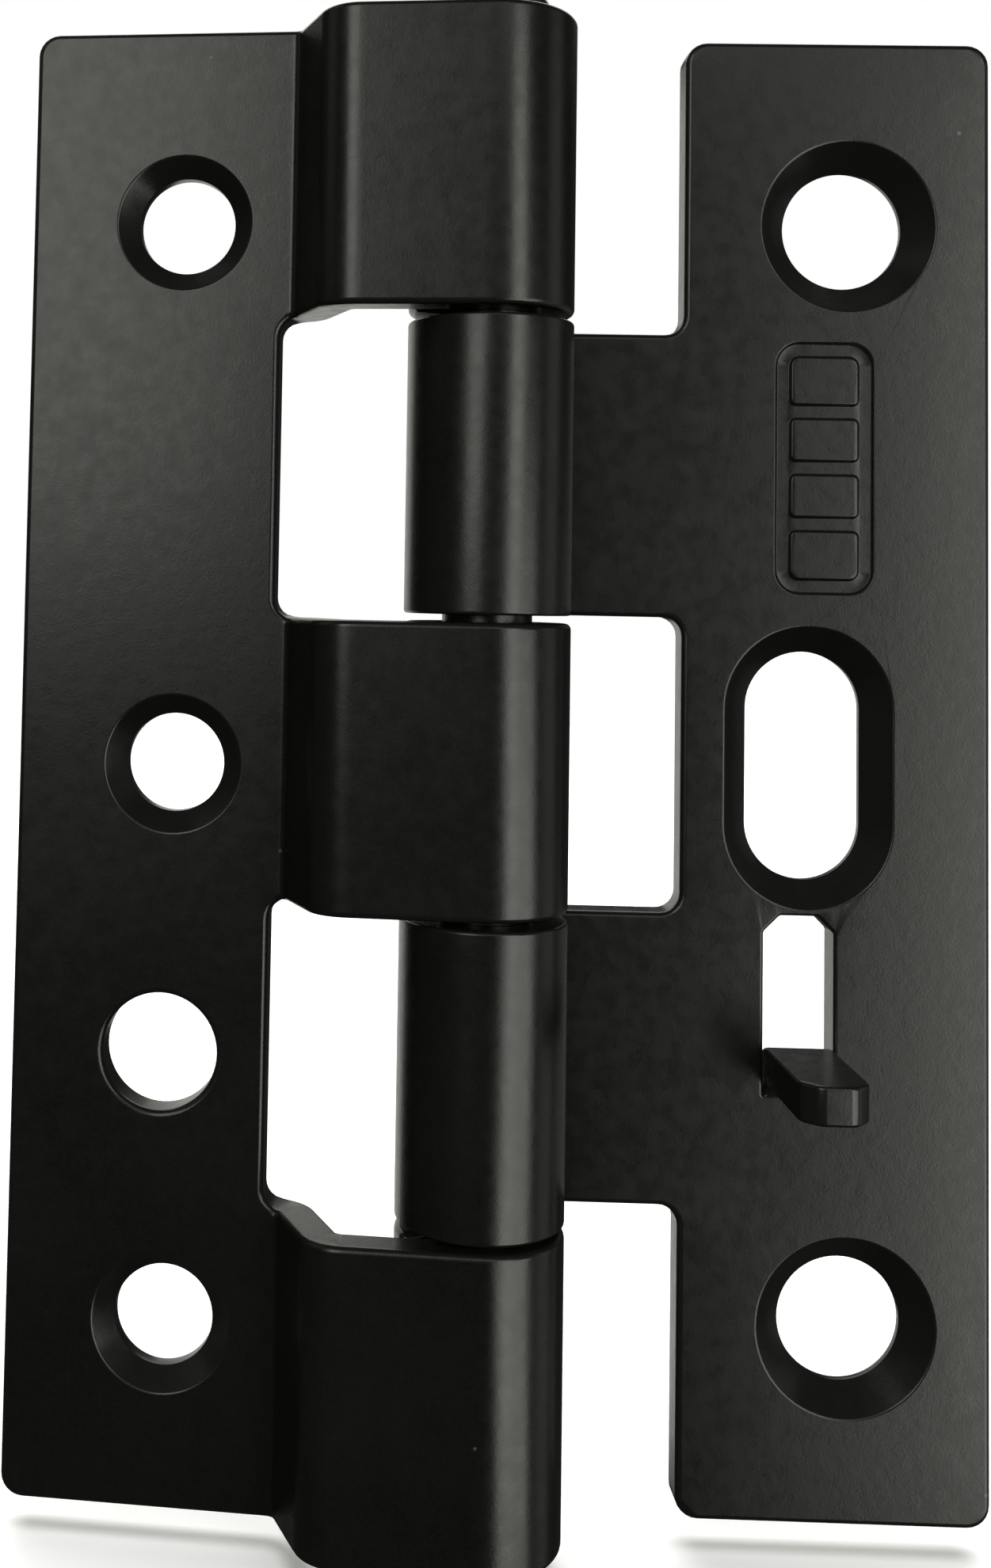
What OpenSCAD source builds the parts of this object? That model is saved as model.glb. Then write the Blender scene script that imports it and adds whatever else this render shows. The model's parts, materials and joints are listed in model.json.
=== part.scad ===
// Door hinge: a flat leaf and a cranked leaf rolled round one fixed pin.
// Millimetres. +Z runs up the pin, +X runs across the flat leaf away from the pin, and the
// countersunk faces of both leaves look along -Y. The origin is the middle of the flat leaf's
// two screw holes, on the back face that seats on the door frame.

/* [Sheet] */
// Thickness of the steel that both leaves are pressed from
sheet_t = 2.5; // [2:0.1:3]
// Radius of the outer corners of both leaves
corner_r = 1.5; // [0.5:0.1:3]
// Radius of the inside corners beside the knuckles
inside_corner_r = 1.3; // [0.5:0.1:2]

/* [Leaves] */
// Height of both leaves, from the top knuckle's end to the bottom knuckle's end
leaf_h = 100; // [84:1:140]
// Pin axis to the outer edge of the flat leaf
flat_leaf_w = 34.4; // [32:0.1:50]
// Pin axis to the outer edge of the cranked leaf
cranked_leaf_w = 31.8; // [28:0.1:48]
// Each end of a leaf to the middle of its nearest screw hole
hole_inset = 12.8; // [10:0.1:18]
// Gap between the two leaves when the hinge is closed
leaf_gap = 3.3; // [2:0.1:5]
// Turn of the cranked leaf past flat in the modelled pose, in degrees
rest_turn = 5; // [0:0.5:20]

/* [Knuckles] */
// Height of each of the flat leaf's two knuckles
flat_knuckle_h = 19.5; // [14:0.1:22]
// Height of the cranked leaf's middle knuckle
middle_knuckle_h = 19; // [14:0.1:24]
// Gap between neighbouring knuckles
knuckle_gap = 0.5; // [0.2:0.1:1.5]
// Gap between the flat leaf's cut-outs and the crank's slope when the hinge is closed
cutout_gap = 1.76; // [1:0.01:3]
// Gap between a rolled knuckle's cut end and its own leaf
curl_gap = 0.4; // [0.2:0.1:0.8]

/* [Crank] */
// Outside of a knuckle to the start of the crank
crank_setback = 3.15; // [2.4:0.05:3.5]
// Slope of the crank, in degrees
crank_angle = 65; // [60:1:75]
// Inside radius of the crank's two bends
crank_bend_r = 0.6; // [0.4:0.1:0.9]
// Width of flat plate left between the crank and its windows
window_land = 0.6; // [0.2:0.1:1.5]

/* [Pin] */
// Diameter of the pin's shank
pin_d = 6; // [5:0.1:7]
// Clearance between the pin and the knuckles, on the radius
pin_clearance = 0.05; // [0.02:0.01:0.1]
// Distance that a peened head reaches past the knuckles' bore, on the radius
pin_head_rim = 0.65; // [0.3:0.05:1.8]
// Height of the straight side of a peened head
pin_head_h = 1.2; // [0.5:0.1:2]
// Height of the dome on a peened head
pin_dome_h = 0.8; // [0.3:0.1:2]

/* [Flat leaf holes] */
// Diameter of the two screw holes
flat_hole_d = 8.2; // [5:0.1:9]
// Depth of their 90 degree countersinks
flat_csk_depth = 1.85; // [0.5:0.05:1.9]
// Pin axis to the line of the two holes
flat_hole_x = 24.8; // [20:0.1:28]
// Width of the adjusting slot
slot_w = 7.8; // [5:0.1:8.5]
// Length of the adjusting slot, end to end
slot_l = 15.6; // [10:0.1:18]
// Depth of the slot's 90 degree countersink
slot_csk_depth = 1.8; // [0.5:0.05:1.9]
// Pin axis to the slot's centre
slot_x = 22.2; // [21:0.1:27]

/* [Cranked leaf holes] */
// Diameter of the three screw holes
cranked_hole_d = 6.7; // [4:0.1:7]
// Depth of their 90 degree countersinks
cranked_csk_depth = 1.35; // [0.5:0.05:1.9]
// Pin axis to the line of the three holes
cranked_hole_x = 21.1; // [20:0.1:24]
// Distance from mid-height down to the middle hole
cranked_hole_drop = 0.6; // [0:0.1:2]

/* [Interlock tab] */
// Width of the lanced tab
tab_w = 4.5; // [3:0.1:5]
// Height of the tab above the flat leaf's face
tab_h = 9.4; // [6:0.1:11]
// Inside radius of the bend at the tab's root
tab_bend_r = 0.5; // [0.3:0.1:1]
// Pin axis to the tab's centre
tab_x = 21.6; // [21:0.1:24]
// Plate left between the slot's countersink and the tab's window
tab_land = 0.4; // [0.2:0.1:2]
// Chamfer on the tab's two tip corners
tab_chamfer = 1.1; // [0.3:0.1:1.3]
// Sheared gap on each side of the tab, and at its tip, in its window
tab_shear_gap = 0.1; // [0.05:0.01:0.3]
// Diameter of the hole in the cranked leaf that takes the tab
tab_hole_d = 7.8; // [7:0.1:9]

/* [Pressed panel] */
// Width of the plain pressed panel
panel_w = 6.4; // [4:0.1:8]
// Plain face left between the panel and the countersinks above and below it
panel_land = 2.3; // [1:0.1:5]
// Width of the pressed line round the panel
panel_line_w = 0.8; // [0.5:0.1:1.2]
// Depth of the pressing
panel_depth = 0.25; // [0.1:0.05:0.5]
// Outside radius of the panel's corners
panel_corner_r = 1.5; // [1.3:0.1:2]
// Pin axis to the panel's centre
panel_x = 23.2; // [22:0.1:26]
// Number of plain bars across the panel
panel_bars = 3; // [0:1:5]

/* [Hidden] */
$fn = 96;
COATED_STEEL = [0.13, 0.13, 0.125];
// A cutting tool runs past the metal by this much.
PAST = 1;
// A bend laps the straight sheet at each of its ends by this angle, so that they are one piece.
BEND_LAP = 0.03;

bore_r = pin_d / 2 + pin_clearance;
knuckle_r = bore_r + sheet_t;
// The outer point of the rolled end stops short of the leaf's inner face by curl_gap.
curl_end = asin((knuckle_r - sheet_t - curl_gap) / knuckle_r);

// Faces that look along -Y, measured from the pin axis
flat_face_y = knuckle_r - sheet_t;
cranked_face_y = leaf_gap - flat_face_y;

// Heights, measured from the hinge's middle
window_low = middle_knuckle_h / 2;
window_high = window_low + flat_knuckle_h + 2 * knuckle_gap;
neck_low = window_low + knuckle_gap;
neck_high = window_high - knuckle_gap;

// Screw holes
hole_reach = leaf_h / 2 - hole_inset;
flat_csk_d = flat_hole_d + 2 * flat_csk_depth;
slot_csk_w = slot_w + 2 * slot_csk_depth;
cranked_csk_d = cranked_hole_d + 2 * cranked_csk_depth;

// The crank is two equal and opposite bends with a straight slope between them.
crank_start = knuckle_r + crank_setback;
crank_step = cranked_face_y + knuckle_r;
crank_mid_r = crank_bend_r + sheet_t / 2;
crank_slope_l = (crank_step - 2 * crank_mid_r * (1 - cos(crank_angle))) / sin(crank_angle);
crank_run = 2 * crank_mid_r * sin(crank_angle) + crank_slope_l * cos(crank_angle);
upper_bend = [-crank_start, -knuckle_r + sheet_t + crank_bend_r];
lower_bend = [-crank_start - crank_run, cranked_face_y - crank_bend_r];
window_w = crank_start + crank_run + window_land;

// When the hinge is closed the crank stands in the flat leaf's cut-outs, and this is how far
// its slope reaches from the crank's start at the flat leaf's face.
crank_reach = (crank_bend_r + sheet_t) * tan(crank_angle / 2) + sheet_t / tan(crank_angle);
flat_cutout_w = crank_start + crank_reach + cutout_gap;

// The tab's metal came from its window, so the window is as long as the tab unbent. The
// window starts just below the slot.
slot_end = slot_l / 2 + slot_csk_depth;
tab_straight_l = tab_h - tab_bend_r;
tab_flat_l = tab_straight_l + (tab_bend_r + sheet_t / 2) * PI / 2;
tab_window_l = tab_flat_l + tab_shear_gap;
tab_bend_z = -slot_end - tab_land - tab_window_l;
tab_bend_y = flat_face_y - tab_bend_r;
tab_low_z = tab_bend_z + tab_bend_r;
tab_mid_z = tab_low_z + sheet_t / 2;

// The panel fills the face between the slot and the upper screw hole.
panel_low = slot_end + panel_land;
panel_high = hole_reach - flat_csk_d / 2 - panel_land;
panel_h = panel_high - panel_low;
panel_mid_z = (panel_low + panel_high) / 2;

pin_head_r = bore_r + pin_head_rim;

// Points of a pie slice that holds everything nearer than reach between two angles
function slice(reach, from, to) = concat(
    [[0, 0]],
    [for (i = [0:3]) let (a = from + (to - from) * i / 3) 2 * reach * [cos(a), sin(a)]]
);

module rounded_rectangle(w, h, r) {
    square([w - 2 * r, h], center = true);
    square([w, h - 2 * r], center = true);
    for (x = [-1, 1], y = [-1, 1])
        translate([x * (w / 2 - r), y * (h / 2 - r)])
            circle(r);
}

// Rounds an inside corner at the origin: metal lies in every quadrant but the first
module corner_fillet(r) {
    difference() {
        translate([-r, -r])
            square(2 * r);
        translate([r, r])
            circle(r);
    }
}

// A flat outline in the hinge's XZ plane, as thick in Y as both leaves need
module across_y() {
    rotate([90, 0, 0])
        linear_extrude(height = 4 * knuckle_r, center = true)
            children();
}

// A cutting tool whose own +Z becomes +Y, starting at a leaf's face
module into_face(x, face_y, z) {
    translate([x, face_y, z])
        rotate([-90, 0, 0])
            children();
}

// Sheet rolled round the pin: it leaves the leaf at the back, at 90 degrees, and comes round
// past the far side and the front to curl_end.
module curl_profile() {
    difference() {
        circle(knuckle_r);
        circle(bore_r);
        polygon(slice(knuckle_r, curl_end, 90));
    }
}

module bend_profile(inside_r, from, to) {
    intersection() {
        difference() {
            circle(inside_r + sheet_t);
            circle(inside_r);
        }
        polygon(slice(inside_r + sheet_t, from - BEND_LAP, to + BEND_LAP));
    }
}

module flat_profile() {
    curl_profile();
    translate([0, flat_face_y])
        square([flat_leaf_w, sheet_t]);
}

module cranked_profile() {
    rotate(180)
        curl_profile();
    translate([-crank_start, -knuckle_r])
        square([crank_start, sheet_t]);
    translate(upper_bend)
        bend_profile(crank_bend_r, -90 - crank_angle, -90);
    translate(upper_bend)
        rotate(-crank_angle)
            translate([-crank_slope_l, -crank_bend_r - sheet_t])
                square([crank_slope_l, sheet_t]);
    translate(lower_bend)
        bend_profile(crank_bend_r, 90 - crank_angle, 90);
    translate([-cranked_leaf_w, cranked_face_y])
        square([cranked_leaf_w + lower_bend[0], sheet_t]);
}

// Seen from the front: the plate, and a neck out to each of its two knuckles
module flat_outline() {
    plate_w = flat_leaf_w - flat_cutout_w;
    neck_w = knuckle_r + flat_cutout_w + plate_w / 2;
    translate([flat_cutout_w + plate_w / 2, 0])
        rounded_rectangle(plate_w, leaf_h, corner_r);
    for (low = [neck_low, -neck_high]) {
        translate([-knuckle_r, low])
            square([neck_w, flat_knuckle_h]);
        translate([flat_cutout_w, low + flat_knuckle_h])
            rotate(90)
                corner_fillet(inside_corner_r);
        translate([flat_cutout_w, low])
            rotate(180)
                corner_fillet(inside_corner_r);
    }
}

// Seen from the front: the plate and its straps, with a window for each of the other leaf's
// two knuckles
module cranked_outline() {
    difference() {
        union() {
            translate([-cranked_leaf_w / 2, 0])
                rounded_rectangle(cranked_leaf_w, leaf_h, corner_r);
            translate([-window_w, -leaf_h / 2])
                square([window_w + knuckle_r, leaf_h]);
        }
        for (side = [-1, 1])
            translate([0, side * (window_low + window_high) / 2])
                rounded_rectangle(2 * window_w, window_high - window_low, inside_corner_r);
    }
}

// A 90 degree countersink and its through hole, from the face down
module countersunk_hole(d, csk_d) {
    translate([0, 0, -PAST])
        cylinder(d = d, h = sheet_t + 2 * PAST);
    translate([0, 0, -PAST])
        cylinder(d1 = csk_d + 2 * PAST, d2 = d, h = (csk_d - d) / 2 + PAST);
}

// The same, drawn out into a slot along the hinge's height
module countersunk_slot(w, l, csk_w) {
    half = (l - w) / 2;
    csk_h = (csk_w - w) / 2;
    for (end = [-1, 1])
        translate([0, end * half, 0])
            countersunk_hole(w, csk_w);
    translate([-w / 2, -half, -PAST])
        cube([w, 2 * half, sheet_t + 2 * PAST]);
    rotate([90, 0, 0])
        linear_extrude(height = 2 * half, center = true)
            polygon([
                [-csk_w / 2 - PAST, -PAST],
                [csk_w / 2 + PAST, -PAST],
                [w / 2, csk_h],
                [-w / 2, csk_h]
            ]);
}

// Outline of the tab and of its window: the tip's two corners are cut off
module tab_outline(w, l, chamfer) {
    polygon([
        [-w / 2, 0],
        [w / 2, 0],
        [w / 2, l - chamfer],
        [w / 2 - chamfer, l],
        [-w / 2 + chamfer, l],
        [-w / 2, l - chamfer]
    ]);
}

module tab_window() {
    translate([tab_x, 0, tab_bend_z])
        across_y()
            tab_outline(tab_w + 2 * tab_shear_gap, tab_window_l, tab_chamfer);
}

// The tab bends out of the plate at the bottom of its window and stands square to it.
module tab() {
    translate([tab_x, tab_bend_y, tab_bend_z])
        rotate([90, 0, 90])
            linear_extrude(height = tab_w, center = true)
                bend_profile(tab_bend_r, 0, 90);
    translate([tab_x, tab_bend_y, tab_low_z])
        rotate(180)
            linear_extrude(height = sheet_t)
                tab_outline(tab_w, tab_straight_l, tab_chamfer);
}

module pressed_panel() {
    inner_w = panel_w - 2 * panel_line_w;
    inner_h = panel_h - 2 * panel_line_w;
    bar_pitch = inner_h / (panel_bars + 1);
    difference() {
        rounded_rectangle(panel_w, panel_h, panel_corner_r);
        rounded_rectangle(inner_w, inner_h, panel_corner_r - panel_line_w);
    }
    for (i = [1:1:panel_bars])
        translate([0, i * bar_pitch - inner_h / 2])
            square([inner_w + panel_line_w, panel_line_w], center = true);
}

// A peened head, from the knuckle's end upwards
module pin_head() {
    dome_r = (pin_head_r * pin_head_r + pin_dome_h * pin_dome_h) / (2 * pin_dome_h);
    cylinder(r = pin_head_r, h = pin_head_h);
    intersection() {
        translate([0, 0, pin_head_h + pin_dome_h - dome_r])
            sphere(dome_r);
        cylinder(r = pin_head_r, h = pin_head_h + pin_dome_h);
    }
}

// Moves what is drawn about the pin axis to the hinge's own origin
module from_pin_axis() {
    translate([-flat_hole_x, -knuckle_r, 0])
        children();
}

module flat_leaf() {
    color(COATED_STEEL)
        from_pin_axis() {
            difference() {
                intersection() {
                    linear_extrude(height = leaf_h, center = true)
                        flat_profile();
                    across_y()
                        flat_outline();
                }
                for (side = [-1, 1])
                    into_face(flat_hole_x, flat_face_y, side * hole_reach)
                        countersunk_hole(flat_hole_d, flat_csk_d);
                into_face(slot_x, flat_face_y, 0)
                    countersunk_slot(slot_w, slot_l, slot_csk_w);
                into_face(panel_x, flat_face_y - PAST, panel_mid_z)
                    linear_extrude(height = PAST + panel_depth)
                        pressed_panel();
                tab_window();
            }
            tab();
        }
}

module cranked_leaf() {
    color(COATED_STEEL)
        from_pin_axis()
            rotate(-rest_turn)
                difference() {
                    intersection() {
                        linear_extrude(height = leaf_h, center = true)
                            cranked_profile();
                        across_y()
                            cranked_outline();
                    }
                    for (i = [-1:1])
                        into_face(-cranked_hole_x, cranked_face_y, i * hole_reach - cranked_hole_drop)
                            countersunk_hole(cranked_hole_d, cranked_csk_d);
                    into_face(-tab_x, cranked_face_y - PAST, tab_mid_z)
                        cylinder(d = tab_hole_d, h = sheet_t + 2 * PAST);
                }
}

module hinge_pin() {
    color(COATED_STEEL)
        from_pin_axis() {
            cylinder(d = pin_d, h = leaf_h, center = true);
            for (flip = [0, 1])
                mirror([0, 0, flip])
                    translate([0, 0, leaf_h / 2])
                        pin_head();
        }
}

flat_leaf();
cranked_leaf();
hinge_pin();
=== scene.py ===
"""Door hinge in satin black powder coat: a flat leaf, a cranked leaf and the pin that joins them.

Each leaf is drawn flat, as the blank it was pressed from: (s, z, n) is a place along the sheet,
up the hinge and into the sheet from its countersunk face. The blank is then folded along the
leaf's own path of straights and arcs. Sizes are in millimetres until in_metres() places a point.
"""

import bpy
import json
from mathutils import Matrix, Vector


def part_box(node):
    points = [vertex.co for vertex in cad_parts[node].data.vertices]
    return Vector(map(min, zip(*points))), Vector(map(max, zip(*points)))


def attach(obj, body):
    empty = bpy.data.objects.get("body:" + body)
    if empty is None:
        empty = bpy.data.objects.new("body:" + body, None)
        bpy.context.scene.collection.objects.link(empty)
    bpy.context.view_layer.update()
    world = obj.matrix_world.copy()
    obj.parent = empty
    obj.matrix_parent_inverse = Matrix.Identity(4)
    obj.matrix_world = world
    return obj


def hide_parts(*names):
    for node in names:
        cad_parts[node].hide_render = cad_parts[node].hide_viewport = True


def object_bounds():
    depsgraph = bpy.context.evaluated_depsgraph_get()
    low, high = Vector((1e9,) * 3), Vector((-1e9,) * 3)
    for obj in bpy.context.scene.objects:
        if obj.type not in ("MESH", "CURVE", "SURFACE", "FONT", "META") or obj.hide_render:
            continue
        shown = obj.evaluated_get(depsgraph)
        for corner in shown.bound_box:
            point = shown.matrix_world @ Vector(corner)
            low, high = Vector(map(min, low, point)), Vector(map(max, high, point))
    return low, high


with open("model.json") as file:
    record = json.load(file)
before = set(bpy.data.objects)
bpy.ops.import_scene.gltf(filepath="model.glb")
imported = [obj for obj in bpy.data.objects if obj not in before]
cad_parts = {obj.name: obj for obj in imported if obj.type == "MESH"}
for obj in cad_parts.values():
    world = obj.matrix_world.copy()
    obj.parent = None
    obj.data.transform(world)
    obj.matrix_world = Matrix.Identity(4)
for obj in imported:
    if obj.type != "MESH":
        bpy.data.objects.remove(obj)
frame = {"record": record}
CAD_BOX = [list(corner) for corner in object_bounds()]

import json
import math

import bmesh
import bpy
from mathutils import Matrix, Vector, noise
from mathutils.geometry import delaunay_2d_cdt

MM = 0.001

# ---------------------------------------------------------------------------
# Sizes, in millimetres
# ---------------------------------------------------------------------------
MOUNTS = {m["name"]: m for m in frame["record"]["mounts"]}

pin_low, pin_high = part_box("hinge_pin")
PIN_X = (pin_low.x + pin_high.x) / 2
PIN_Y = (pin_low.y + pin_high.y) / 2
flat_low, flat_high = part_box("flat_leaf")

LEAF_H = (flat_high.z - flat_low.z) / MM
FLAT_LEAF_W = (flat_high.x - PIN_X) / MM
CRANKED_LEAF_W = 31.8
KNUCKLE_R = (PIN_X - flat_low.x) / MM
SHEET_T = 2.5
BORE_R = KNUCKLE_R - SHEET_T
SHANK_R = BORE_R - 0.05
LEAF_GAP = 3.3

MIDDLE_KNUCKLE_H = 19.0
FLAT_KNUCKLE_H = 19.5
KNUCKLE_GAP = 0.5
CURL_GAP = 0.4

CRANK_SETBACK = 3.15
CRANK_ANGLE = math.radians(65)
CRANK_BEND_R = 0.6
WINDOW_LAND = 0.6
CUTOUT_GAP = 1.76

CORNER_R = 1.5
INSIDE_CORNER_R = 1.3
CRANKED_HOLE_D = 6.7
CRANKED_CSK = 1.35
FLAT_CSK = 1.85
SLOT_CSK = 1.8

TAB_W = 4.5
TAB_H = 9.4
TAB_BEND_R = 0.5
TAB_X = 21.6
TAB_CHAMFER = 1.1
TAB_GAP = 0.1
TAB_LAND = 0.4
TAB_HOLE_D = 7.8

PANEL_W = 6.4
PANEL_LINE_W = 0.8
PANEL_DEPTH = 0.25
PANEL_LAND = 2.3
PANEL_CORNER_R = 1.5
PANEL_X = 23.2
PANEL_BARS = 3

# Rounding of the sheet's edges: the punch rounds the face and leaves the back sharper
FACE_EDGE_R = 0.42
BACK_EDGE_R = 0.22
TAB_EDGE_R = 0.25
LIP_R = 0.25

# How far off an edge profile's ends stand, which only gives it the way it starts and finishes
FAR = 9.0
# How far from the outline a fold line's first inner point stands
FOLD_STEP = 0.12

# Where things stand, worked out from the sizes above
WINDOW_LOW = MIDDLE_KNUCKLE_H / 2
WINDOW_HIGH = WINDOW_LOW + FLAT_KNUCKLE_H + 2 * KNUCKLE_GAP
NECK_LOW = WINDOW_LOW + KNUCKLE_GAP
NECK_HIGH = WINDOW_HIGH - KNUCKLE_GAP
CURL_END = math.asin((KNUCKLE_R - SHEET_T - CURL_GAP) / KNUCKLE_R)
CURL_SWEEP = 1.5 * math.pi + CURL_END
CURL_MID_R = BORE_R + SHEET_T / 2
CURL_L = CURL_SWEEP * CURL_MID_R

FLAT_FACE_Y = BORE_R
CRANKED_FACE_Y = LEAF_GAP - FLAT_FACE_Y
CRANK_START = KNUCKLE_R + CRANK_SETBACK
CRANK_MID_R = CRANK_BEND_R + SHEET_T / 2
CRANK_STEP = CRANKED_FACE_Y + KNUCKLE_R
CRANK_SLOPE_L = (CRANK_STEP - 2 * CRANK_MID_R * (1 - math.cos(CRANK_ANGLE))) / math.sin(CRANK_ANGLE)
CRANK_RUN = 2 * CRANK_MID_R * math.sin(CRANK_ANGLE) + CRANK_SLOPE_L * math.cos(CRANK_ANGLE)
CRANK_REACH = ((CRANK_BEND_R + SHEET_T) * math.tan(CRANK_ANGLE / 2)
               + SHEET_T / math.tan(CRANK_ANGLE))
FLAT_CUTOUT_W = CRANK_START + CRANK_REACH + CUTOUT_GAP
CRANK_ARC_L = CRANK_MID_R * CRANK_ANGLE
PLATE_END = -CRANK_START - 2 * CRANK_ARC_L - CRANK_SLOPE_L
PLATE_L = CRANKED_LEAF_W - CRANK_START - CRANK_RUN

HOLE_REACH = MOUNTS["jamb_screws"]["dims"]["spacing_y_mm"] / 2
FLAT_HOLE_R = MOUNTS["jamb_screws"]["dims"]["hole_r_mm"]
FLAT_HOLE_X = (MOUNTS["jamb_screws"]["pos_m"][0] - PIN_X) / MM
SLOT_R = MOUNTS["height_slot"]["dims"]["hole_r_mm"]
SLOT_L = MOUNTS["height_slot"]["dims"]["slot_length_mm"]
SLOT_X = (MOUNTS["height_slot"]["pos_m"][0] - PIN_X) / MM
DOOR_NORMAL = MOUNTS["door_face"]["axis"]
REST_TURN = math.atan2(-DOOR_NORMAL[0], DOOR_NORMAL[1])
middle_screw = MOUNTS["door_middle_screw"]["pos_m"]
CRANKED_HOLE_X = -((middle_screw[0] - PIN_X) * math.cos(REST_TURN)
                   + (middle_screw[1] - PIN_Y) * math.sin(REST_TURN)) / MM
CRANKED_HOLE_Z = middle_screw[2] / MM

SLOT_END = SLOT_L / 2 + SLOT_CSK
TAB_MID_R = TAB_BEND_R + SHEET_T / 2
TAB_L = TAB_H - TAB_BEND_R + TAB_MID_R * math.pi / 2
TAB_BEND_Z = -SLOT_END - TAB_LAND - TAB_L - TAB_GAP
TAB_MID_Z = TAB_BEND_Z + TAB_BEND_R + SHEET_T / 2
PANEL_LOW = SLOT_END + PANEL_LAND
PANEL_HIGH = HOLE_REACH - FLAT_HOLE_R - FLAT_CSK - PANEL_LAND


# ---------------------------------------------------------------------------
# Outlines on the flat blank. Metal lies on the left of the way an outline runs, and each
# point carries the unit vector that points out of the metal there.
# ---------------------------------------------------------------------------
def outline(corners, stops_s=(), stops_z=(), steps=6):
    """A closed outline through corners (s, z, radius), with extra points where its straights
    cross the given lines of s and z, for the sheet to fold at."""
    count = len(corners)
    heads = []
    for i in range(count):
        a, b = corners[i], corners[(i + 1) % count]
        heads.append(math.atan2(b[1] - a[1], b[0] - a[0]))
    arcs = []
    for i in range(count):
        s, z, r = corners[i]
        into, away = heads[i - 1], heads[i]
        turn = (away - into + math.pi) % (2 * math.pi) - math.pi
        side = 1 if turn > 0 else -1
        back = r * math.tan(abs(turn) / 2)
        right = (math.sin(into), -math.cos(into))
        centre = (s - math.cos(into) * back - side * r * right[0],
                  z - math.sin(into) * back - side * r * right[1])
        arc = []
        for k in range(steps + 1):
            h = into + turn * k / steps
            out = (math.sin(h), -math.cos(h))
            arc.append((centre[0] + side * r * out[0], centre[1] + side * r * out[1], *out))
        arcs.append(arc)
    points = []
    for i in range(count):
        points += arcs[i]
        a, b = arcs[i][-1], arcs[(i + 1) % count][0]
        cuts = []
        for axis, stops in ((0, stops_s), (1, stops_z)):
            run = b[axis] - a[axis]
            if abs(run) > 1e-6:
                cuts += [(stop - a[axis]) / run for stop in stops]
        for t in sorted(c for c in cuts if 1e-4 < c < 1 - 1e-4):
            points.append((a[0] + (b[0] - a[0]) * t, a[1] + (b[1] - a[1]) * t, a[2], a[3]))
    kept = []
    for p in points:
        if not kept or math.dist(p[:2], kept[-1][:2]) > 1e-5:
            kept.append(p)
    if math.dist(kept[0][:2], kept[-1][:2]) < 1e-5:
        kept.pop()
    return kept


def round_hole(s, z, r, steps=64):
    turns = [-2 * math.pi * k / steps for k in range(steps)]
    return [(s + r * math.cos(a), z + r * math.sin(a), -math.cos(a), -math.sin(a)) for a in turns]


def box_hole(s0, z0, s1, z1, r, steps=6):
    return outline([(s0, z0, r), (s0, z1, r), (s1, z1, r), (s1, z0, r)], steps=steps)


def box_island(s0, z0, s1, z1, radii, steps=4):
    corners = ((s0, z0), (s1, z0), (s1, z1), (s0, z1))
    return outline([(*c, r) for c, r in zip(corners, radii)], steps=steps)


def rounded_run(corners, steps=4):
    """An open line through corners (inset, depth, radius), its two end points left out."""
    run = []
    for a, b, c in zip(corners, corners[1:], corners[2:]):
        corner, radius = Vector(b[:2]), b[2]
        into = (corner - Vector(a[:2])).normalized()
        away = (Vector(c[:2]) - corner).normalized()
        turn = into.angle(away)
        back = radius * math.tan(turn / 2)
        pull = (away - into).normalized() * radius / math.cos(turn / 2)
        start, end = -into * back - pull, away * back - pull
        for k in range(steps + 1):
            run.append(tuple(corner + pull + start.slerp(end, k / steps) * radius))
    return run


def square_edge(face_r):
    """The profile of a plain edge, from the face to the back."""
    return rounded_run([(FAR, 0, 0), (0, 0, face_r), (0, SHEET_T, BACK_EDGE_R), (FAR, SHEET_T, 0)])


PLAIN_EDGE = square_edge(FACE_EDGE_R)


def countersink(depth):
    """The profile of a 45 degree countersink."""
    return rounded_run([(FAR, 0, 0), (depth, 0, LIP_R), (0, depth, 0.08),
                        (0, SHEET_T, BACK_EDGE_R), (FAR, SHEET_T, 0)])


# ---------------------------------------------------------------------------
# The path that a leaf's sheet follows, seen from above
# ---------------------------------------------------------------------------
class SheetPath:
    """Straights and arcs followed along the sheet's middle plane."""

    def __init__(self, s, x, y, heading):
        self.pieces = []
        self.end = (s, x, y, heading)

    def straight(self, length):
        s, x, y, heading = self.end
        self.pieces.append((s, x, y, heading, 0.0))
        self.end = (s + length, x + length * math.cos(heading), y + length * math.sin(heading),
                    heading)

    def arc(self, radius, turn):
        """turn is in radians: a left turn is positive."""
        s, x, y, heading = self.end
        bend = math.copysign(1 / radius, turn)
        self.pieces.append((s, x, y, heading, bend))
        after = heading + turn
        self.end = (s + radius * abs(turn), x + (math.sin(after) - math.sin(heading)) / bend,
                    y - (math.cos(after) - math.cos(heading)) / bend, after)

    def at(self, s, n):
        """The point at s, as deep as n into the sheet from its countersunk face."""
        piece = self.pieces[0]
        for p in self.pieces:
            if p[0] <= s + 1e-9:
                piece = p
        s0, x, y, heading, bend = piece
        run = s - s0
        after = heading + bend * run
        if bend:
            x += (math.sin(after) - math.sin(heading)) / bend
            y -= (math.cos(after) - math.cos(heading)) / bend
        else:
            x += run * math.cos(heading)
            y += run * math.sin(heading)
        off = n - SHEET_T / 2
        return x - off * math.sin(after), y + off * math.cos(after)


def in_metres(x, y, z, turn=0.0):
    c, s = math.cos(turn), math.sin(turn)
    return Vector((PIN_X + (x * c - y * s) * MM, PIN_Y + (x * s + y * c) * MM, z * MM))


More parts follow.
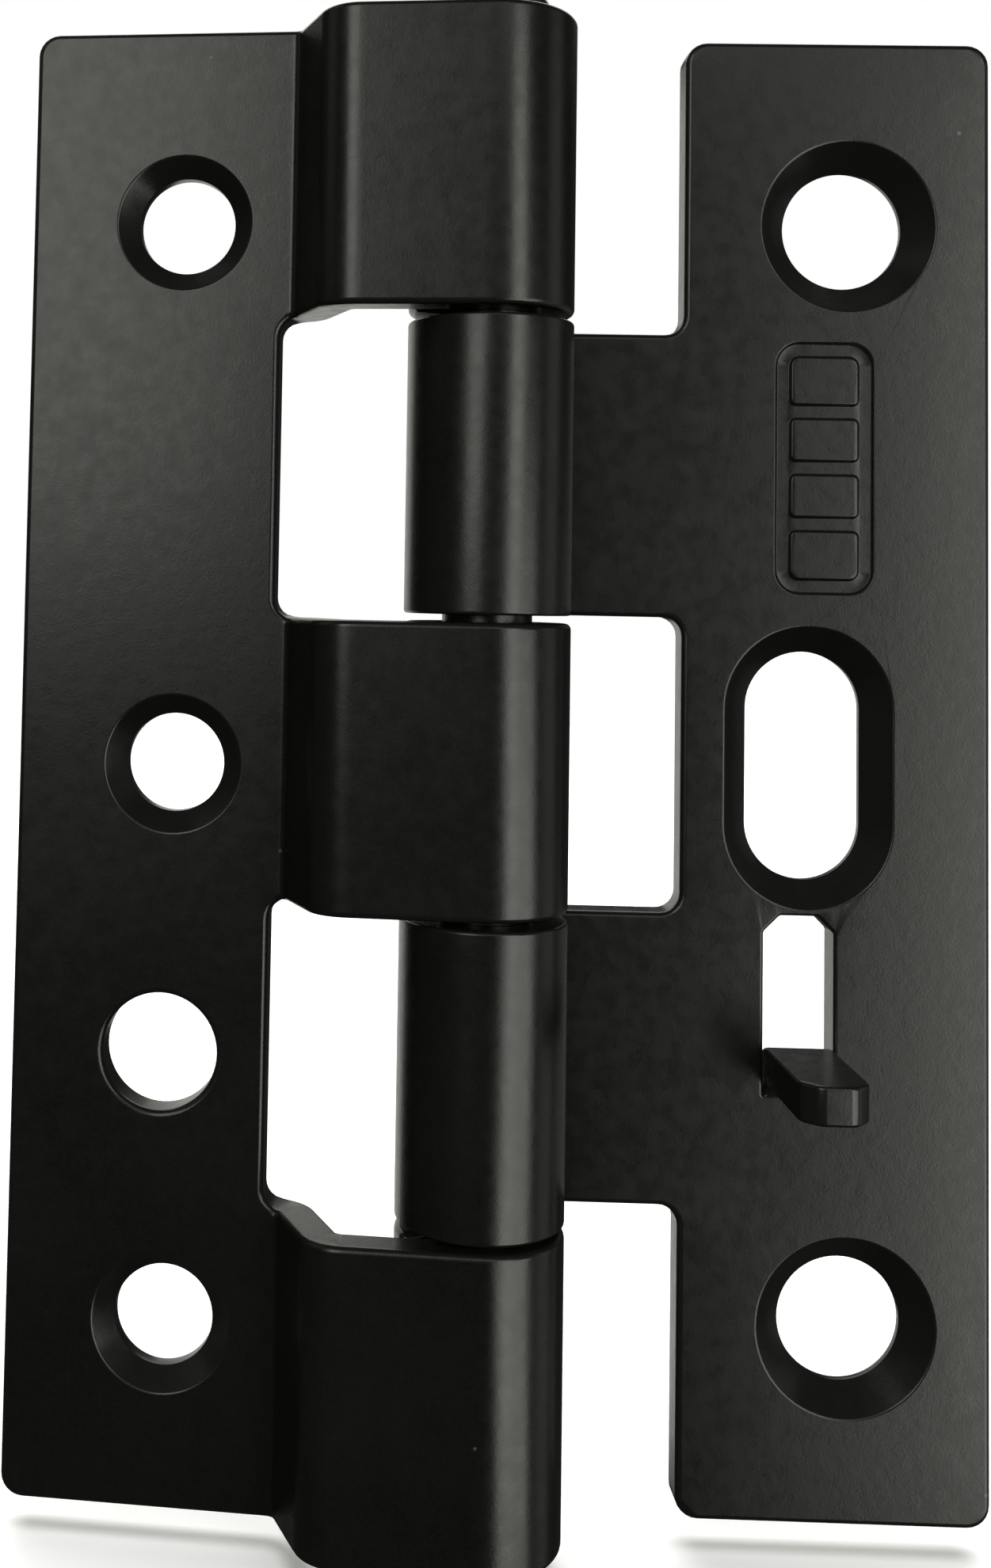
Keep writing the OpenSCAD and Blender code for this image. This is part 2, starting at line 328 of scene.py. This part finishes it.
def smooth_piece(mesh, name, weight):
    """Turns a finished mesh into a smooth piece whose wide faces stay flat to the light."""
    bmesh.ops.recalc_face_normals(mesh, faces=mesh.faces)
    data = bpy.data.meshes.new(name)
    mesh.to_mesh(data)
    mesh.free()
    for polygon in data.polygons:
        polygon.use_smooth = True
    piece = bpy.data.objects.new(name, data)
    bpy.context.scene.collection.objects.link(piece)
    normals = piece.modifiers.new("face_normals", "WEIGHTED_NORMAL")
    normals.mode = "FACE_AREA"
    normals.weight = weight
    return piece


# ---------------------------------------------------------------------------
# Building the folded sheet
# ---------------------------------------------------------------------------
class FoldedSheet:
    def __init__(self, fold):
        self.mesh = bmesh.new()
        self.edge = self.mesh.verts.layers.float.new("edge_wear")
        self.fold = fold

    def ring(self, loop, inset, depth, wear=0.0):
        points = [(s - inset * os, z - inset * oz) for s, z, os, oz in loop]
        verts = []
        for s, z in points:
            v = self.mesh.verts.new(self.fold(s, z, depth))
            v[self.edge] = wear
            verts.append(v)
        return points, verts

    def join(self, a, b):
        a, b = a[1], b[1]
        for i in range(len(a)):
            j = (i + 1) % len(a)
            self.mesh.faces.new((a[i], a[j], b[j], b[i]))

    def skirt(self, loop, profile):
        """The wall down an outline: the rings where it leaves the face and reaches the back."""
        turns = [0.0] + [
            (Vector(b) - Vector(a)).angle(Vector(c) - Vector(b)) if a != b != c else 0.0
            for a, b, c in zip(profile, profile[1:], profile[2:])
        ] + [0.0]
        rings = [self.ring(loop, inset, depth, 1.0 if turn > 0.05 else 0.0)
                 for (inset, depth), turn in zip(profile, turns)]
        for a, b in zip(rings, rings[1:]):
            self.join(a, b)
        return rings[0], rings[-1]

    def crossings(self, points, sides, stop):
        """Where the line s = stop meets the sides: z, and the point there if there is one."""
        for i, j in sides:
            a, b = points[i], points[j]
            if abs(a.x - stop) < 1e-6:
                yield a.y, i
            elif (a.x < stop) != (b.x < stop) and abs(b.x - stop) > 1e-6:
                yield a.y + (b.y - a.y) * (stop - a.x) / (b.x - a.x), None

    def inner_point(self, points, verts, s, z, depth):
        points.append(Vector((s, z)))
        verts.append(self.mesh.verts.new(self.fold(s, z, depth)))
        return len(points) - 1

    def fill(self, rings, depth=0.0, stops=(), tab_stops=()):
        """Fills the region inside the first ring and outside the others, at one depth. It folds
        along the lines of constant s in stops, and across the tab along those of constant z."""
        points, verts, edges, regions = [], [], [], []
        for ring_points, ring_verts in rings:
            region = list(range(len(points), len(points) + len(ring_points)))
            points += [Vector(p) for p in ring_points]
            leftward = sum(points[i - 1].cross(points[i]) for i in region[1:])
            leftward += points[region[-1]].cross(points[region[0]])
            regions.append(region if leftward > 0 else region[::-1])
            verts += ring_verts
        sides = [(i, j) for region in regions for i, j in zip(region, region[1:] + region[:1])]
        for stop in stops:
            ends = sorted(self.crossings(points, sides, stop))
            for (low, a), (high, b) in zip(ends[::2], ends[1::2]):
                if a is None:
                    a = self.inner_point(points, verts, stop, low + FOLD_STEP, depth)
                if b is None:
                    b = self.inner_point(points, verts, stop, high - FOLD_STEP, depth)
                edges.append((a, b))
        for stop in tab_stops:
            on = sorted((p.x, i) for i, p in enumerate(points)
                        if abs(p.y - stop) < 1e-6 and abs(p.x - TAB_X) < TAB_W / 2)
            edges += [(a[1], b[1]) for a, b in zip(on[::2], on[1::2])]
        made = delaunay_2d_cdt(points, edges, regions, 1, 1e-7)
        source = [o[0] if o else None for o in made[3]]
        for face, within in zip(made[2], made[5]):
            corners = [verts[source[i]] for i in face if source[i] is not None]
            if within == [0] and len(set(corners)) == 3:
                self.mesh.faces.new(corners)


def spread(start, end, step):
    count = max(1, math.ceil(abs(end - start) / step))
    return [start + (end - start) * k / count for k in range(count + 1)]


# ---------------------------------------------------------------------------
# The flat leaf
# ---------------------------------------------------------------------------
def on_tab(s, z):
    """Whether a place on the blank lies inside the shear line and past the tab's bend."""
    across, up, gap = abs(s - TAB_X), z - TAB_BEND_Z, TAB_GAP / 2
    return (up > 0 and across < TAB_W / 2 + gap and up < TAB_L + gap
            and across + up < TAB_W / 2 + TAB_L - TAB_CHAMFER + 2 * gap)


def flat_leaf_fold():
    """The curl runs clockwise round the pin and comes out behind it, heading along +X."""
    path = SheetPath(-CURL_L, CURL_MID_R * math.cos(CURL_END), CURL_MID_R * math.sin(CURL_END),
                     CURL_END - math.pi / 2)
    path.arc(CURL_MID_R, -CURL_SWEEP)
    path.straight(FLAT_LEAF_W)

    def fold(s, z, n):
        if on_tab(s, z):
            run = z - TAB_BEND_Z
            angle = min(run / TAB_MID_R, math.pi / 2)
            beyond = run - angle * TAB_MID_R
            radius = TAB_BEND_R + n
            y = FLAT_FACE_Y - TAB_BEND_R + radius * math.cos(angle) - beyond
            return in_metres(s, y, TAB_BEND_Z + radius * math.sin(angle))
        return in_metres(*path.at(s, n), z)
    return fold


def flat_outline(stops):
    half, edge = LEAF_H / 2, FLAT_CUTOUT_W
    corners = [(edge, -half, CORNER_R), (FLAT_LEAF_W, -half, CORNER_R),
               (FLAT_LEAF_W, half, CORNER_R), (edge, half, CORNER_R)]
    for low, high in ((NECK_LOW, NECK_HIGH), (-NECK_HIGH, -NECK_LOW)):
        corners += [(edge, high, INSIDE_CORNER_R), (-CURL_L, high, 0.45),
                    (-CURL_L, low, 0.45), (edge, low, INSIDE_CORNER_R)]
    return outline(corners, stops_s=stops)


def tab_slot(stops):
    """The shear line round the tab, with the tab on its inside."""
    def side(s0, s1, top, chamfer):
        return [(s0, top - chamfer), (s0 + chamfer, top), (s1 - chamfer, top), (s1, top - chamfer)]
    low = TAB_BEND_Z - 2 * TAB_GAP
    out_w, in_w = TAB_W / 2 + TAB_GAP, TAB_W / 2
    window = side(TAB_X - out_w, TAB_X + out_w, TAB_BEND_Z + TAB_L + TAB_GAP, TAB_CHAMFER)
    tip = side(TAB_X - in_w, TAB_X + in_w, TAB_BEND_Z + TAB_L, TAB_CHAMFER)
    corners = [(TAB_X - out_w, low, 0.04)] + [(*p, 0.35) for p in window]
    corners += [(TAB_X + out_w, low, 0.04), (TAB_X + in_w, low, 0.04)]
    corners += [(*p, 1.0) for p in reversed(tip)] + [(TAB_X - in_w, low, 0.04)]
    return outline(corners, stops_z=stops, steps=4)


def panel(sheet):
    """The plain pressed panel: a line round it, bars across, and flat lands between."""
    slope = 0.16
    down = rounded_run([(FAR, 0, 0), (slope, 0, 0.15), (0, PANEL_DEPTH, 0.1),
                        (-FAR, PANEL_DEPTH, 0)], steps=3)
    up = rounded_run([(-FAR, PANEL_DEPTH, 0), (0, PANEL_DEPTH, 0.1), (slope, 0, 0.15),
                      (FAR, 0, 0)], steps=3)
    s0, s1 = PANEL_X - PANEL_W / 2, PANEL_X + PANEL_W / 2
    outer = box_hole(s0, PANEL_LOW, s1, PANEL_HIGH, PANEL_CORNER_R)
    brim, floor = sheet.skirt(outer, down)
    s0, s1 = s0 + PANEL_LINE_W, s1 - PANEL_LINE_W
    low, high = PANEL_LOW + PANEL_LINE_W, PANEL_HIGH - PANEL_LINE_W
    pitch = (high - low) / (PANEL_BARS + 1)
    feet = []
    for i in range(PANEL_BARS + 1):
        z0 = low + i * pitch + (PANEL_LINE_W / 2 if i else 0)
        z1 = low + (i + 1) * pitch - (PANEL_LINE_W / 2 if i < PANEL_BARS else 0)
        big, small = PANEL_CORNER_R - PANEL_LINE_W, 0.45
        bottom, top = (small if i else big), (small if i < PANEL_BARS else big)
        island = box_island(s0, z0, s1, z1, (bottom, bottom, top, top))
        foot, land = sheet.skirt(island, up)
        sheet.fill([land])
        feet.append(foot)
    sheet.fill([floor] + feet)
    return brim


def build_flat_leaf():
    curl_stops = spread(-CURL_L + 1.2, 0, 0.42) + [0.6]
    tab_stops = [TAB_BEND_Z + TAB_MID_R * math.pi / 2 * k / 8 for k in range(9)]
    tab_stops.append(tab_stops[-1] + 0.4)
    sheet = FoldedSheet(flat_leaf_fold())
    edges = [sheet.skirt(flat_outline(curl_stops), PLAIN_EDGE)]
    for side in (-1, 1):
        hole = round_hole(FLAT_HOLE_X, side * HOLE_REACH, FLAT_HOLE_R)
        edges.append(sheet.skirt(hole, countersink(FLAT_CSK)))
    slot = box_hole(SLOT_X - SLOT_R, -SLOT_L / 2, SLOT_X + SLOT_R, SLOT_L / 2, SLOT_R, steps=16)
    edges.append(sheet.skirt(slot, countersink(SLOT_CSK)))
    edges.append(sheet.skirt(tab_slot(tab_stops), square_edge(TAB_EDGE_R)))
    fronts, backs = [e[0] for e in edges], [e[1] for e in edges]
    fronts.append(panel(sheet))
    sheet.fill(fronts, 0.0, curl_stops, tab_stops)
    sheet.fill(backs, SHEET_T, curl_stops, tab_stops)
    return smooth_piece(sheet.mesh, "flat_leaf_pressing", 100)


# ---------------------------------------------------------------------------
# The cranked leaf: on its blank s is 0 where the straps meet the curls, and falls towards the plate
# ---------------------------------------------------------------------------
def cranked_s(x):
    """Where the plate's x, measured from the pin axis, lies on the blank."""
    return x + CRANK_START + CRANK_RUN + PLATE_END


def cranked_leaf_fold():
    path = SheetPath(PLATE_END - PLATE_L, -CRANKED_LEAF_W, CRANKED_FACE_Y + SHEET_T / 2, 0.0)
    path.straight(PLATE_L)
    path.arc(CRANK_MID_R, -CRANK_ANGLE)
    path.straight(CRANK_SLOPE_L)
    path.arc(CRANK_MID_R, CRANK_ANGLE)
    path.straight(CRANK_START)
    path.arc(CURL_MID_R, CURL_SWEEP)

    def fold(s, z, n):
        return in_metres(*path.at(s, n), z, REST_TURN)
    return fold


def cranked_outline(stops):
    half = LEAF_H / 2
    edge, window = cranked_s(-CRANKED_LEAF_W), PLATE_END - WINDOW_LAND
    corners = [(edge, -half, CORNER_R)]
    for low, high in ((-half, -WINDOW_HIGH), (-WINDOW_LOW, WINDOW_LOW), (WINDOW_HIGH, half)):
        if low > -half:
            corners.append((window, low, INSIDE_CORNER_R))
        corners += [(CURL_L, low, 0.45), (CURL_L, high, 0.45)]
        if high < half:
            corners.append((window, high, INSIDE_CORNER_R))
    corners.append((edge, half, CORNER_R))
    return outline(corners, stops_s=stops)


def build_cranked_leaf():
    lower, upper = PLATE_END, PLATE_END + CRANK_ARC_L + CRANK_SLOPE_L
    stops = [lower - 0.3] + spread(lower, lower + CRANK_ARC_L, 0.24)
    stops += spread(upper, upper + CRANK_ARC_L, 0.24) + [-CRANK_START + 0.4, -0.6]
    stops += spread(0, CURL_L - 1.2, 0.42)
    sheet = FoldedSheet(cranked_leaf_fold())
    edges = [sheet.skirt(cranked_outline(stops), PLAIN_EDGE)]
    for i in (-1, 0, 1):
        hole = round_hole(cranked_s(-CRANKED_HOLE_X), i * HOLE_REACH + CRANKED_HOLE_Z,
                          CRANKED_HOLE_D / 2)
        edges.append(sheet.skirt(hole, countersink(CRANKED_CSK)))
    tab_hole = round_hole(cranked_s(-TAB_X), TAB_MID_Z, TAB_HOLE_D / 2)
    edges.append(sheet.skirt(tab_hole, PLAIN_EDGE))
    sheet.fill([e[0] for e in edges], 0.0, stops)
    sheet.fill([e[1] for e in edges], SHEET_T, stops)
    return smooth_piece(sheet.mesh, "cranked_leaf_pressing", 100)


# ---------------------------------------------------------------------------
# The pin
# ---------------------------------------------------------------------------
def build_pin():
    half = LEAF_H / 2
    head_r, head_top = (pin_high.x - pin_low.x) / 2 / MM, pin_high.z / MM
    dome_h = 0.8
    dome_r = (head_r ** 2 + dome_h ** 2) / (2 * dome_h)
    dome = []
    for k in range(9):
        r = head_r * 0.93 * k / 8
        dome.append((r, head_top - dome_r + math.sqrt(dome_r ** 2 - r ** 2)))
    top = dome + [(head_r * 0.985, head_top - dome_h + 0.02), (head_r, head_top - dome_h - 0.2),
                  (head_r, half + 0.12), (head_r - 0.12, half), (SHANK_R, half),
                  (SHANK_R, half - 0.3)]
    profile = top + [(r, -z) for r, z in reversed(top)]
    mesh = bmesh.new()
    wear = mesh.verts.layers.float.new("edge_wear")
    steps = 96
    rings = []
    for r, z in profile:
        ring = []
        for k in range(steps if r > 0 else 1):
            a = 2 * math.pi * k / steps
            x, y = r * math.cos(a), r * math.sin(a)
            # The peening tool leaves the domes a little uneven.
            dent = noise.noise(Vector((x, y, z)) * 0.9) * 0.06 if abs(z) > half + 1 else 0.0
            v = mesh.verts.new(in_metres(x, y, z - math.copysign(abs(dent), z)))
            v[wear] = 1.0 if abs(r - head_r) < 0.08 and abs(z) > half + 0.9 else 0.0
            ring.append(v)
        rings.append(ring)
    for a, b in zip(rings, rings[1:]):
        for k in range(steps):
            j = (k + 1) % steps
            corners = [a[k % len(a)], a[j % len(a)], b[j % len(b)], b[k % len(b)]]
            mesh.faces.new(list(dict.fromkeys(corners)))
    return smooth_piece(mesh, "peened_pin", 60)


# ---------------------------------------------------------------------------
# Materials
# ---------------------------------------------------------------------------
def node(tree, kind, **values):
    made = tree.nodes.new(kind)
    for key, value in values.items():
        if key in made.inputs:
            made.inputs[key].default_value = value
        else:
            setattr(made, key, value)
    return made


def powder_coat(name, dark, light, roughness):
    """Satin powder coat: a soft orange peel, a fine tooth, faint clouds and a few pale specks."""
    material = bpy.data.materials.new(name)
    material.use_nodes = True
    tree = material.node_tree
    shader = tree.nodes["Principled BSDF"]
    shader.inputs["IOR"].default_value = 1.5
    shader.inputs["Metallic"].default_value = 0.0
    link = tree.links.new
    place = node(tree, "ShaderNodeTexCoord").outputs["Object"]

    def texture(scale, detail, roughness_of=0.5):
        made = node(tree, "ShaderNodeTexNoise", Scale=scale, Detail=detail, Roughness=roughness_of)
        link(place, made.inputs["Vector"])
        return made.outputs["Fac"]

    def ramp(source, low, high, a, b):
        made = node(tree, "ShaderNodeMapRange")
        for socket, value in zip(("From Min", "From Max", "To Min", "To Max"), (low, high, a, b)):
            made.inputs[socket].default_value = value
        link(source, made.inputs["Value"])
        return made.outputs["Result"]

    def mix(fac, a, b):
        made = node(tree, "ShaderNodeMix", data_type="RGBA")
        link(fac, made.inputs["Factor"])
        for socket, value in ((6, a), (7, b)):
            if isinstance(value, tuple):
                made.inputs[socket].default_value = value
            else:
                link(value, made.inputs[socket])
        return made.outputs[2]

    clouds = ramp(texture(90, 3), 0.35, 0.7, 0, 1)
    grain = ramp(texture(5200, 2), 0.35, 0.7, 0, 1)
    tone = mix(clouds, dark, light)
    tone = mix(ramp(grain, 0, 1, 0, 0.35), tone, tuple(min(1, 1.7 * c) for c in light[:3]) + (1,))
    wear = node(tree, "ShaderNodeAttribute", attribute_name="edge_wear").outputs["Fac"]
    tone = mix(ramp(wear, 0, 1, 0, 0.5), tone, tuple(1.6 * c for c in light[:3]) + (1,))
    cells = node(tree, "ShaderNodeTexVoronoi", Scale=260, Randomness=1.0)
    link(place, cells.inputs["Vector"])
    speck = ramp(cells.outputs["Distance"], 0.03, 0.045, 1, 0)
    sparse = ramp(texture(130, 0), 0.66, 0.68, 0, 0.6)
    both = node(tree, "ShaderNodeMath", operation="MULTIPLY")
    link(speck, both.inputs[0])
    link(sparse, both.inputs[1])
    tone = mix(both.outputs[0], tone, (0.2, 0.2, 0.19, 1))
    link(tone, shader.inputs["Base Color"])

    rough = ramp(texture(900, 3), 0.3, 0.75, roughness - 0.02, roughness + 0.05)
    link(rough, shader.inputs["Roughness"])

    peel = node(tree, "ShaderNodeBump", Strength=0.05, Distance=0.00012)
    link(texture(1100, 1), peel.inputs["Height"])
    tooth = node(tree, "ShaderNodeBump", Strength=0.16, Distance=0.00003)
    link(texture(6500, 2), tooth.inputs["Height"])
    link(peel.outputs["Normal"], tooth.inputs["Normal"])
    link(tooth.outputs["Normal"], shader.inputs["Normal"])
    return material


def paper(name, colour):
    material = bpy.data.materials.new(name)
    material.use_nodes = True
    tree = material.node_tree
    shader = tree.nodes["Principled BSDF"]
    shader.inputs["Roughness"].default_value = 0.9
    shader.inputs["Specular IOR Level"].default_value = 0.1
    fibre = node(tree, "ShaderNodeTexNoise", Scale=30, Detail=4)
    tint = node(tree, "ShaderNodeMapRange")
    tint.inputs["To Min"].default_value = colour - 0.01
    tint.inputs["To Max"].default_value = colour
    tree.links.new(fibre.outputs["Fac"], tint.inputs["Value"])
    tree.links.new(tint.outputs["Result"], shader.inputs["Base Color"])
    return material


# ---------------------------------------------------------------------------
# The hinge
# ---------------------------------------------------------------------------
leaf_coat = powder_coat("leaf_powder_coat", dark=(0.006, 0.0062, 0.0055, 1),
                        light=(0.010, 0.0104, 0.009, 1), roughness=0.27)
pin_coat = powder_coat("pin_powder_coat", dark=(0.006, 0.006, 0.0055, 1),
                       light=(0.010, 0.010, 0.009, 1), roughness=0.27)

flat_leaf = build_flat_leaf()
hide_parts("flat_leaf")
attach(flat_leaf, "jamb_side")
flat_leaf.data.materials.append(leaf_coat)

cranked_leaf = build_cranked_leaf()
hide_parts("cranked_leaf")
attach(cranked_leaf, "door_side")
cranked_leaf.data.materials.append(leaf_coat)

pin = build_pin()
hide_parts("hinge_pin")
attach(pin, "door_side")
pin.data.materials.append(pin_coat)


# ---------------------------------------------------------------------------
# Floor, light and camera
# ---------------------------------------------------------------------------
def add_floor():
    z = CAD_BOX[0][2] - 0.0002
    mesh = bmesh.new()
    corners = [mesh.verts.new((x, y, z)) for x, y in ((-4, -4), (4, -4), (4, 4), (-4, 4))]
    mesh.faces.new(corners)
    data = bpy.data.meshes.new("floor")
    mesh.to_mesh(data)
    mesh.free()
    floor = bpy.data.objects.new("floor", data)
    bpy.context.scene.collection.objects.link(floor)
    data.materials.append(paper("pale_floor", 0.9))
    # The coat mirrors the dim studio and not the floor.
    floor.visible_diffuse = False
    floor.visible_glossy = False
    return floor


def add_floor_light(floor):
    """An overhead light that falls on the floor only, so that it leaves the coat dark."""
    lit = bpy.data.collections.new("floor_only")
    lit.objects.link(floor)
    sun = bpy.data.lights.new("floor_light", "SUN")
    sun.energy = 4.0
    sun.angle = math.radians(60)
    overhead = bpy.data.objects.new("floor_light", sun)
    bpy.context.scene.collection.objects.link(overhead)
    overhead.light_linking.receiver_collection = lit


def add_light(name, azimuth, elevation, across, up, radiance):
    """A soft box that looks at the hinge, as wide and as tall as the angles across and up.
    Azimuth 0 stands in front of the hinge and 90 on its right. Angles are in degrees."""
    distance = 0.6
    data = bpy.data.lights.new(name, "AREA")
    data.shape = "RECTANGLE"
    data.size = 2 * distance * math.tan(math.radians(across / 2))
    data.size_y = 2 * distance * math.tan(math.radians(up / 2))
    data.energy = math.pi * data.size * data.size_y * radiance
    data.color = (1.0, 1.0, 0.93)
    light = bpy.data.objects.new(name, data)
    bpy.context.scene.collection.objects.link(light)
    a, e = math.radians(azimuth), math.radians(elevation)
    back = Vector((math.sin(a) * math.cos(e), -math.cos(a) * math.cos(e), math.sin(e)))
    light.location = Vector((PIN_X, PIN_Y, 0)) + back * distance
    light.rotation_mode = "QUATERNION"
    light.rotation_quaternion = (-back).to_track_quat("-Z", "Y")


def add_world():
    """White behind the hinge as the camera sees it, and dim in the light that falls on it."""
    world = bpy.data.worlds.new("studio")
    bpy.context.scene.world = world
    world.use_nodes = True
    tree = world.node_tree
    seen = tree.nodes.new("ShaderNodeLightPath").outputs["Is Camera Ray"]
    level = tree.nodes.new("ShaderNodeMapRange")
    level.inputs["To Min"].default_value = 0.03
    level.inputs["To Max"].default_value = 1.0
    tree.links.new(seen, level.inputs["Value"])
    tree.links.new(level.outputs["Result"], tree.nodes["Background"].inputs["Strength"])
    tree.nodes["Background"].inputs["Color"].default_value = (1, 1, 1, 1)


def add_camera():
    """Close to the hinge, a little to its left and above its middle, looking slightly up."""
    data = bpy.data.cameras.new("camera")
    camera = bpy.data.objects.new("camera", data)
    bpy.context.scene.collection.objects.link(camera)
    data.sensor_width = 36
    data.lens = 39.54
    data.shift_x = 0.139
    data.shift_y = -0.177
    azimuth, elevation, roll = (math.radians(v) for v in (1.696, -2.872, 1.140))
    back = Vector((math.sin(azimuth) * math.cos(elevation),
                   -math.cos(azimuth) * math.cos(elevation), math.sin(elevation)))
    place = Matrix.Translation((PIN_X - 10.71 * MM, PIN_Y - 115.65 * MM, 11.15 * MM))
    look = (-back).to_track_quat("-Z", "Y").to_matrix().to_4x4()
    camera.matrix_world = place @ look @ Matrix.Rotation(roll, 4, "Z")
    data.clip_start = 0.005
    bpy.context.scene.camera = camera


add_floor_light(add_floor())
add_world()
add_light("front_left_box", -25, 21, 22, 38, 3.1)
add_light("left_box", -85, 35, 24, 40, 0.2)
add_light("front_top_box", 10, 32, 18, 18, 1.3)
add_light("front_right_box", 32, -5, 18, 60, 3.8)
add_light("right_box", 53, -16, 22, 40, 3.0)
add_light("right_rim_box", 90, -5, 24, 60, 0.4)
add_light("back_top_box", 180, 42, 60, 30, 1.8)
add_light("back_box", 200, -4, 44, 50, 0.9)
add_camera()
bpy.context.scene.view_settings.view_transform = "Standard"

bpy.context.view_layer.update()
